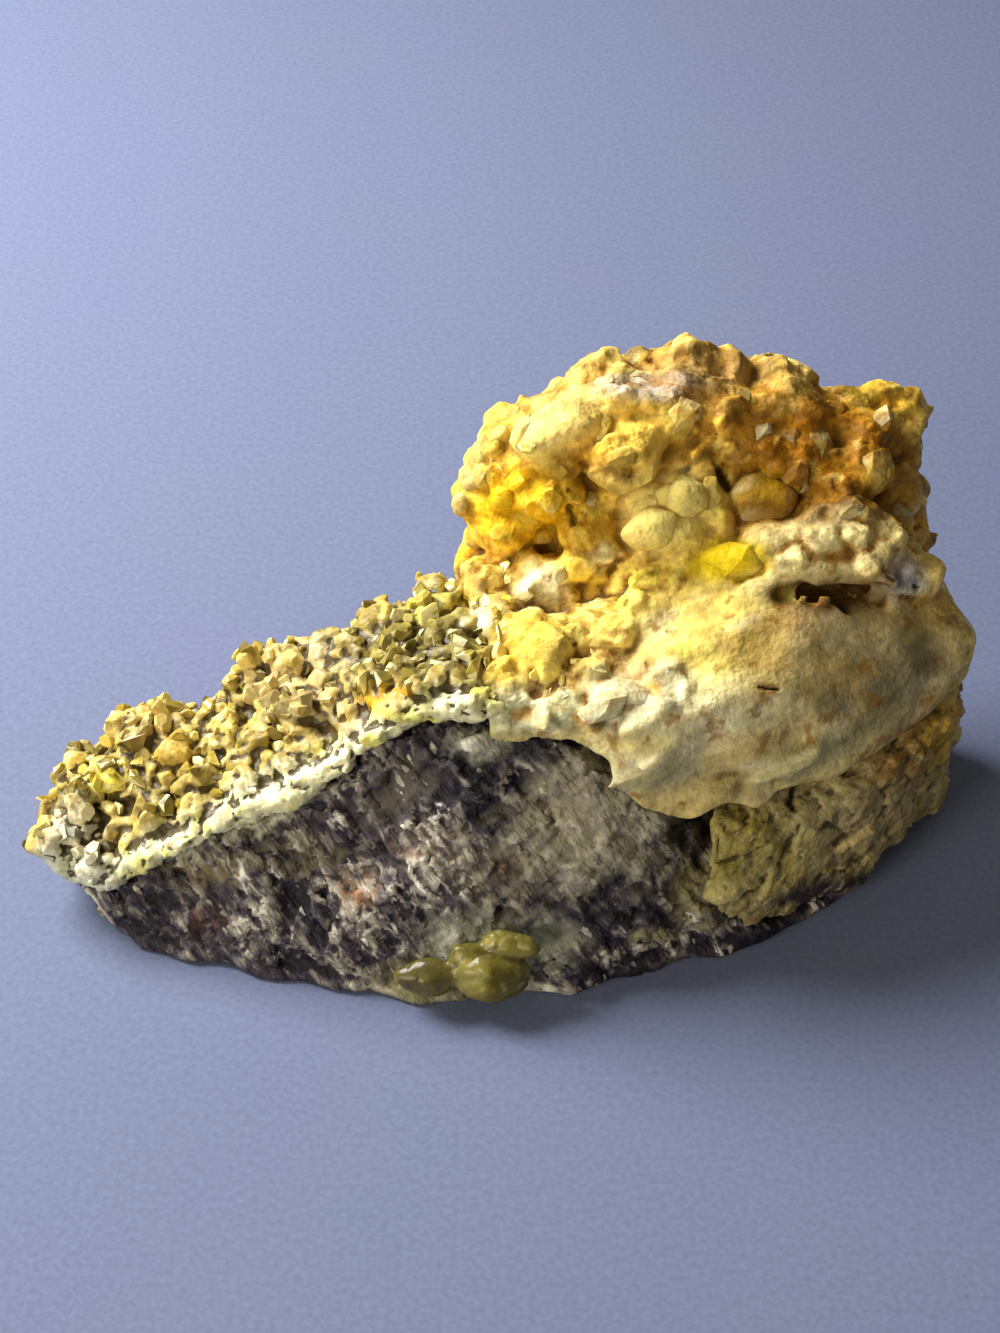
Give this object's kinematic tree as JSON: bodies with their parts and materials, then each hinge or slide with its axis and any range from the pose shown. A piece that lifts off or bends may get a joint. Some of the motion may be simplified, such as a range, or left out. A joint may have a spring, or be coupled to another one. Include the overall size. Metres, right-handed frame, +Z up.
{
  "type": "pyromorphite mineral specimen",
  "caption": "Hand-size mineral specimen: a wedge of dark host rock carrying a yellow drusy crystal crust, a botryoidal yellow mass with a pale ledge, and a lower lobe.",
  "frame": {"origin": "middle of the specimen's footprint box, on the surface it rests on", "axes": "+X along the specimen from the thin crystal-covered tip to the thick end, +Y towards the back, +Z up"},
  "size_m": [0.0934, 0.0516, 0.0467],
  "materials": {
    "host_rock": "rough, granular, dark purplish grey with olive patches",
    "botryoidal_mass": "waxy, amber yellow lumps and a cream ledge",
    "drusy_crust": "resinous olive-yellow crystals with a pale broken rim",
    "lower_lobe": "granular, yellowish brown",
    "foot_spheres": "waxy, green-yellow"
  },
  "bodies": {
    "root": {"host_rock": "host_rock", "botryoidal_mass": "botryoidal_mass", "drusy_crust": "drusy_crust", "lower_lobe": "lower_lobe", "foot_spheres": "foot_spheres"}
  },
  "joints": []
}
